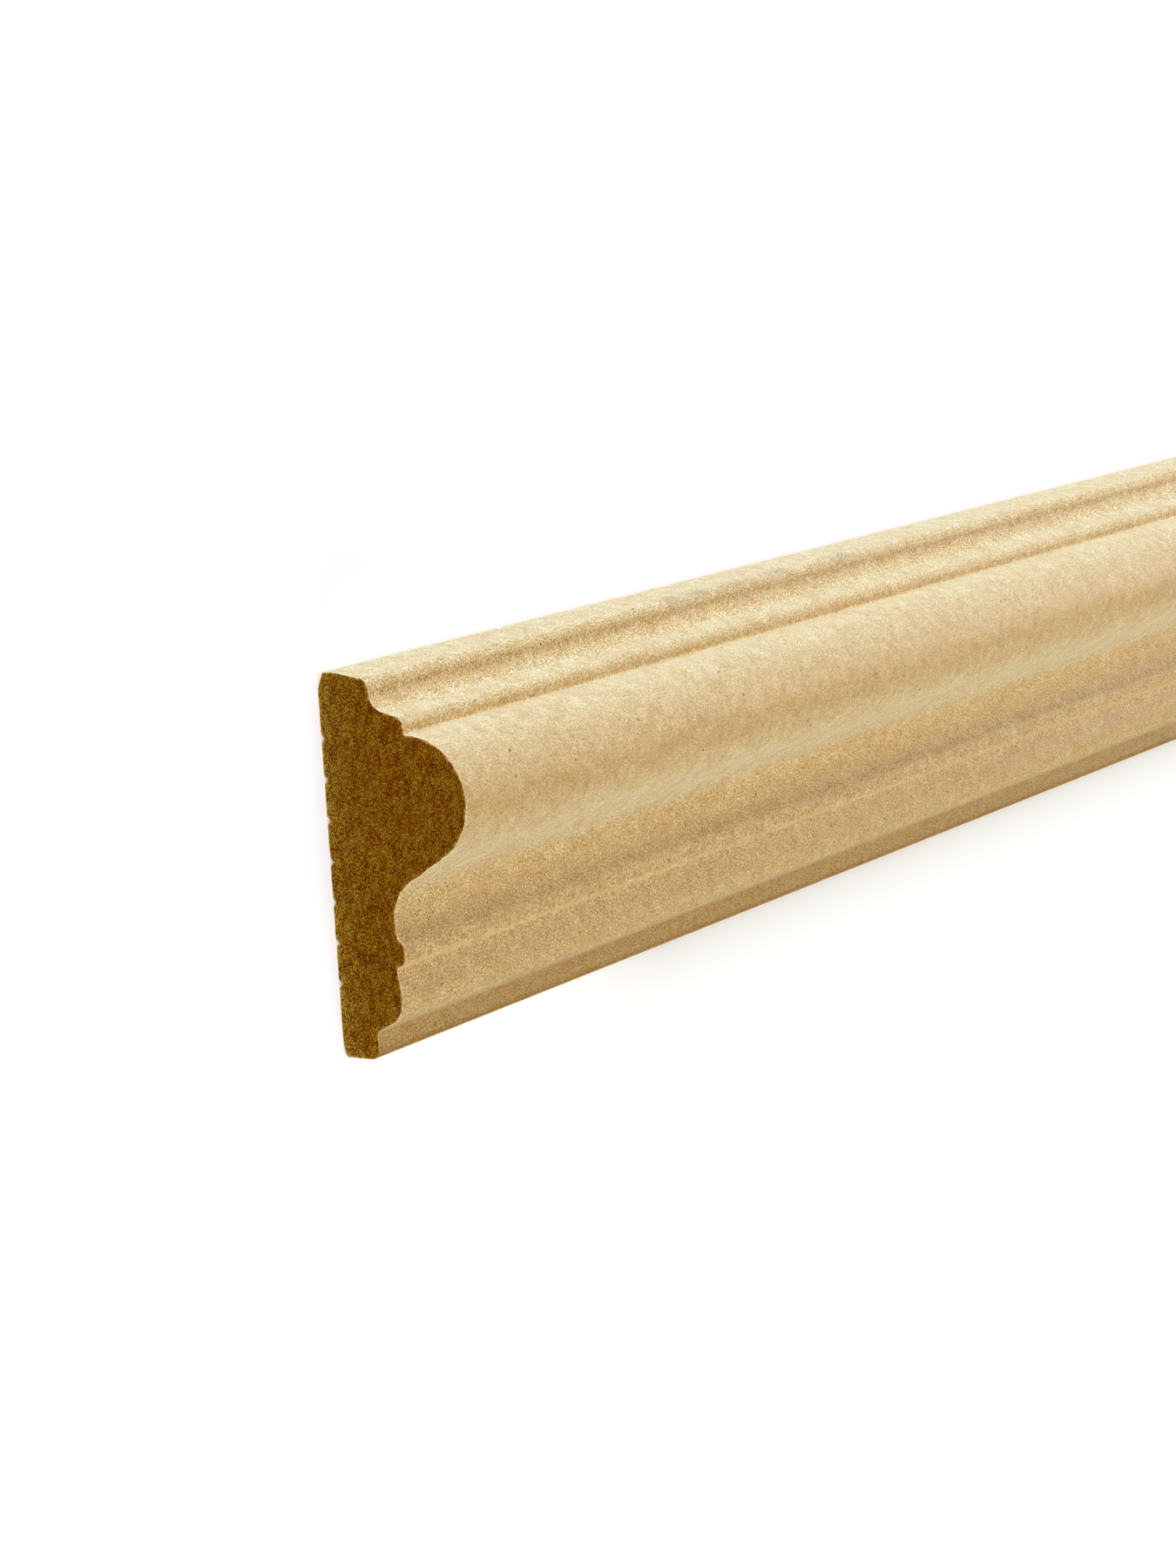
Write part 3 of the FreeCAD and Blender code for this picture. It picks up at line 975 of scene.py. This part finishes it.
def finish_board(finish, colour, grain, relief, relief_mm, roughness, specular):
    """Ends a board's finish, which is a material with its tree and output. The relief is a bump
    of this height, and the roughness goes from its first value to its second with the grain."""
    material, tree, output = finish
    bump = {"Height": relief, "Strength": 1.0, "Distance": relief_mm * MM}
    bump = add(tree, "Bump", bump).outputs[0]
    rough = {"Value": grain, "From Min": NOISE_LOW, "From Max": NOISE_HIGH}
    rough |= {"To Min": roughness[0], "To Max": roughness[1]}
    rough = add(tree, "MapRange", rough).outputs[0]
    surface = {"Base Color": colour, "Roughness": rough, "IOR": MDF_IOR, "Normal": bump}
    surface |= {"Specular IOR Level": specular}
    surface = add(tree, "BsdfPrincipled", surface).outputs[0]
    tree.links.new(surface, output.inputs["Surface"])
    rail_mesh.materials.append(material)
    print(material.name, "has", len(tree.nodes), "nodes")


# %% Surface of the moulded board
# Cut fibres scatter light in all directions, so it is rough. Loose fibres hide most of the gloss
# of the resin, so the specular level is low
SPECK_RELIEF_MM = 0.03
MDF_ROUGHNESS = (0.5, 0.7)
MDF_SPECULAR = 0.2

relief = add(tree, "Math", {0: loose_speck, 1: spot}, operation="SUBTRACT").outputs[0]
finish_board(
    (mdf, tree, output), colour=tan, grain=speck, relief=relief,
    relief_mm=SPECK_RELIEF_MM, roughness=MDF_ROUGHNESS, specular=MDF_SPECULAR,
)

# %% [markdown]
# ## Sawn fibreboard
# The same board looks far darker on its cut end, because the light sinks in between the ends of
# the fibres and doesn't come out again, and its browns here are darker still with painted shade.
# What does come out is a warm brown, with pale specks where a fibre lies along the cut and dark
# ones where there is a gap. Towards the back the fibres are a little paler, and the saw has dragged
# pale ones out over the arris. The fibres were pressed flat with the board, so the specks are about
# twice as long along the layers as across them.
#
# Each fibre could be modelled as a short hair, but they are far finer than a dot of the picture.
# A fine noise for the fibres, a coarse one for their patches and a bump look the same.

# %% Fibres and gaps
# Fibres are drawn thicker than they are, to show. Whole patches of them are paler or darker too,
# by this share
FIBRE_MM = 0.17
FIBRE_LENGTHENED = 2.0
PATCH_MM = 0.9
PATCH_SHARE = 0.16

# A gap is as dark as it gets up to the first of these levels, a fibre is whole from the second,
# and between them it grows by a power. What a middling patch adds is added to both
FIBRE_LEVELS = (0.37, 0.68)
FIBRE_POWER = 1.6

sawn, tree, output = new_material("sawn_mdf")
place = add(tree, "TexCoord").outputs["Object"]
stretched = {0: place, 1: (1.0, 1 / FIBRE_LENGTHENED, 1.0)}
stretched = add(tree, "VectorMath", stretched, operation="MULTIPLY").outputs[0]
fibre = {"Vector": stretched, "Scale": 1 / (FIBRE_MM * MM), "Detail": 3.0, "Roughness": 0.7}
fibre = add(tree, "TexNoise", fibre).outputs[0]
patch = {"Vector": stretched, "Scale": 1 / (PATCH_MM * MM), "Detail": 1.0}
patch = add(tree, "TexNoise", patch).outputs[0]
tone = {0: patch, 1: PATCH_SHARE, 2: fibre}
tone = add(tree, "Math", tone, operation="MULTIPLY_ADD").outputs[0]
gap_level, fibre_level = [level + PATCH_SHARE * NOISE_MIDDLE for level in FIBRE_LEVELS]
lying = {"Value": tone, "From Min": gap_level, "From Max": fibre_level}
lying = add(tree, "MapRange", lying).outputs[0]
lying = add(tree, "Math", {0: lying, 1: FIBRE_POWER}, operation="POWER").outputs[0]
print("fibres are drawn", FIBRE_MM, "mm thick")

# %% Brown of the sawn end
# The fibres, but not the gaps, grow paler in the layer by the back, by a power of the way to it
# These browns hold painted shade besides the sawn end's own darkness
GAP_COLOUR = "#470400"
FIBRE_COLOUR = "#ae841c"
BACK_FIBRE_COLOUR = "#d0ae38"
BACK_LAYER_MM = 12.0
BACK_POWER = 3.5
PATCH_CONTRAST = (0.0, 0.3, 1.2)

out = add(tree, "SeparateXYZ", {0: place}).outputs["Z"]
by_back = {"Value": out, "From Max": BACK_LAYER_MM * MM, "To Min": 1.0, "To Max": 0.0}
by_back = add(tree, "MapRange", by_back).outputs[0]
by_back = add(tree, "Math", {0: by_back, 1: BACK_POWER}, operation="POWER").outputs[0]
layers = {0: by_back, MIX_A: linear(FIBRE_COLOUR), MIX_B: linear(BACK_FIBRE_COLOUR)}
pale = add(tree, "Mix", layers, data_type="RGBA").outputs[MIX_RESULT]
layers = {0: lying, MIX_A: linear(GAP_COLOUR), MIX_B: pale}
brown = add(tree, "Mix", layers, data_type="RGBA").outputs[MIX_RESULT]
brown = varied(tree, brown, patch, PATCH_CONTRAST)
print("the layer by the back is", BACK_LAYER_MM, "mm deep")

# %% Strands
# Now and then a whole fibre lies in the cut and shows as a short pale line, a little bent
STRAND_THICK_MM = 0.16
STRAND_LONG_MM = 0.5
STRAND_BEND = 1.5
STRAND_LEVELS = (0.68, 0.78)
STRAND_COVER = 0.7
STRAND_COLOUR = "#c49a55"

drawn_out = {0: place, 1: (1.0, STRAND_THICK_MM / STRAND_LONG_MM, 1.0)}
drawn_out = add(tree, "VectorMath", drawn_out, operation="MULTIPLY").outputs[0]
strand = {"Vector": drawn_out, "Scale": 1 / (STRAND_THICK_MM * MM), "Distortion": STRAND_BEND}
strand = add(tree, "TexNoise", strand).outputs[0]
strand = {"Value": strand, "From Min": STRAND_LEVELS[0], "From Max": STRAND_LEVELS[1]}
strand = add(tree, "MapRange", strand | {"To Max": STRAND_COVER}).outputs[0]
layers = {0: strand, MIX_A: brown, MIX_B: linear(STRAND_COLOUR)}
brown = add(tree, "Mix", layers, data_type="RGBA").outputs[MIX_RESULT]
print("strands are about", STRAND_LONG_MM, "mm long")

# %% The fringe along the arris
# The fringe of dragged fibres comes and goes along the arris with a noise of its own
FRINGE_MM = 0.6
FRINGE_COVER = 0.75
FRINGE_COLOUR = "#c8a660"
TORN_MM = 0.7
TORN_LEVELS = (0.35, 0.6)

from_rim = add(tree, "Attribute", attribute_name="from_rim").outputs["Fac"]
torn = {"Vector": place, "Scale": 1 / (TORN_MM * MM), "Detail": 4.0}
torn = add(tree, "TexNoise", torn).outputs[0]
torn = {"Value": torn, "From Min": TORN_LEVELS[0], "From Max": TORN_LEVELS[1]}
torn = add(tree, "MapRange", torn).outputs[0]
fringe = {0: from_rim, 1: -1 / FRINGE_MM, 2: torn}
fringe = add(tree, "Math", fringe, operation="MULTIPLY_ADD").outputs[0]
fringe = {0: fringe, 1: FRINGE_COVER}
fringe = add(tree, "Math", fringe, operation="MULTIPLY", use_clamp=True).outputs[0]
layers = {0: fringe, MIX_A: brown, MIX_B: linear(FRINGE_COLOUR)}
brown = add(tree, "Mix", layers, data_type="RGBA").outputs[MIX_RESULT]
print("the fringe is up to", FRINGE_MM, "mm deep")

# %% Surface of the sawn end
# Loose fibre ends give no gloss at all, so the specular level is nought
FIBRE_RELIEF_MM = 0.03
SAWN_ROUGHNESS = (0.9, 1.0)
SAWN_SPECULAR = 0.0

finish_board(
    (sawn, tree, output), colour=brown, grain=fibre, relief=fibre,
    relief_mm=FIBRE_RELIEF_MM, roughness=SAWN_ROUGHNESS, specular=SAWN_SPECULAR,
)

# %% [markdown]
# ## Sanded back
# The back is the face of the board as it left the mill: pressed hardest and sanded flat. It is
# smoother than the moulded members, and it has the same specks, only fainter. The moulded finish
# could serve with its ledges and wear left out, but a short one of its own is easier to read.

# %% Sanded fibreboard
# The board goes from one of these colours to the other and back in clouds
SANDED_COLOURS = ("#d9b987", "#c7a06b")
SANDED_CONTRAST = (0.6, 0.8, 1.2)
SANDED_RELIEF_MM = 0.015
SANDED_ROUGHNESS = (0.45, 0.6)

sanded, tree, output = new_material("sanded_mdf")
place = add(tree, "TexCoord").outputs["Object"]
speck = add(tree, "TexNoise", speck_noise | {"Vector": place}).outputs[0]
cloud = {"Vector": place, "Scale": 1 / (CLOUD_MM * MM), "Detail": 3.0}
cloud = add(tree, "TexNoise", cloud).outputs[0]
layers = {0: cloud, MIX_A: linear(SANDED_COLOURS[0]), MIX_B: linear(SANDED_COLOURS[1])}
tan = add(tree, "Mix", layers, data_type="RGBA").outputs[MIX_RESULT]
tan = varied(tree, tan, speck, SANDED_CONTRAST)
finish_board(
    (sanded, tree, output), colour=tan, grain=speck, relief=speck,
    relief_mm=SANDED_RELIEF_MM, roughness=SANDED_ROUGHNESS, specular=MDF_SPECULAR,
)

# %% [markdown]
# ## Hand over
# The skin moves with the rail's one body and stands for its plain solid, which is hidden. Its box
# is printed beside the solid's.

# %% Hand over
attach(rail, "root")
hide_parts(NODE)

boxes = {"cad": solid_box, "visual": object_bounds()}
boxes = {name: [[float(value) for value in corner] for corner in box] for name, box in boxes.items()}
print(boxes)
